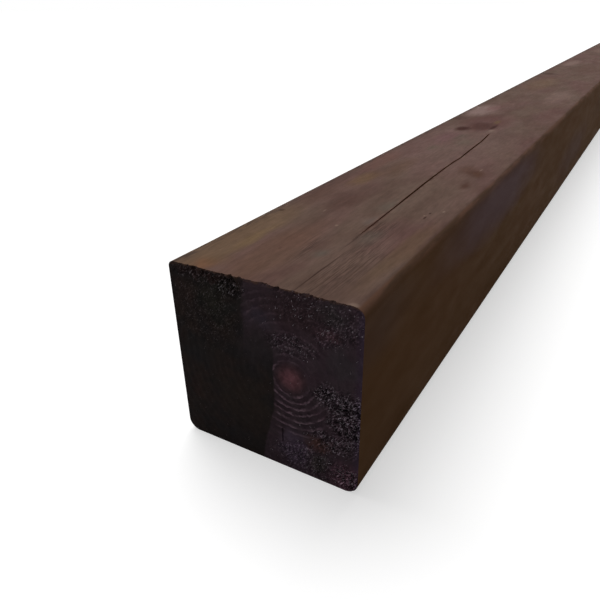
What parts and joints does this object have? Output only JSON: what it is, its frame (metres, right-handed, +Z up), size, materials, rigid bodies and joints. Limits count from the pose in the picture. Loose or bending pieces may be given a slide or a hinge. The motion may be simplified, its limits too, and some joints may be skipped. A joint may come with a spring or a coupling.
{
  "type": "treated wooden post",
  "caption": "Square planed and pressure-treated softwood post with eased arrises, sawn ends and an open drying check along its top face.",
  "frame": {"origin": "on the floor under the middle of the post, at the bottom centre of its box", "axes": "+Y along the post's length, away from the near sawn end; +Z up from the face it lies on to the checked top face; +X to the right as seen from the near end"},
  "size_m": [0.1, 1.8, 0.1],
  "materials": {
    "treated_wood": "planed softwood with brown preservative, weathered and dry; rough-sawn end grain"
  },
  "bodies": {
    "root": {"post": "treated_wood"}
  },
  "joints": []
}
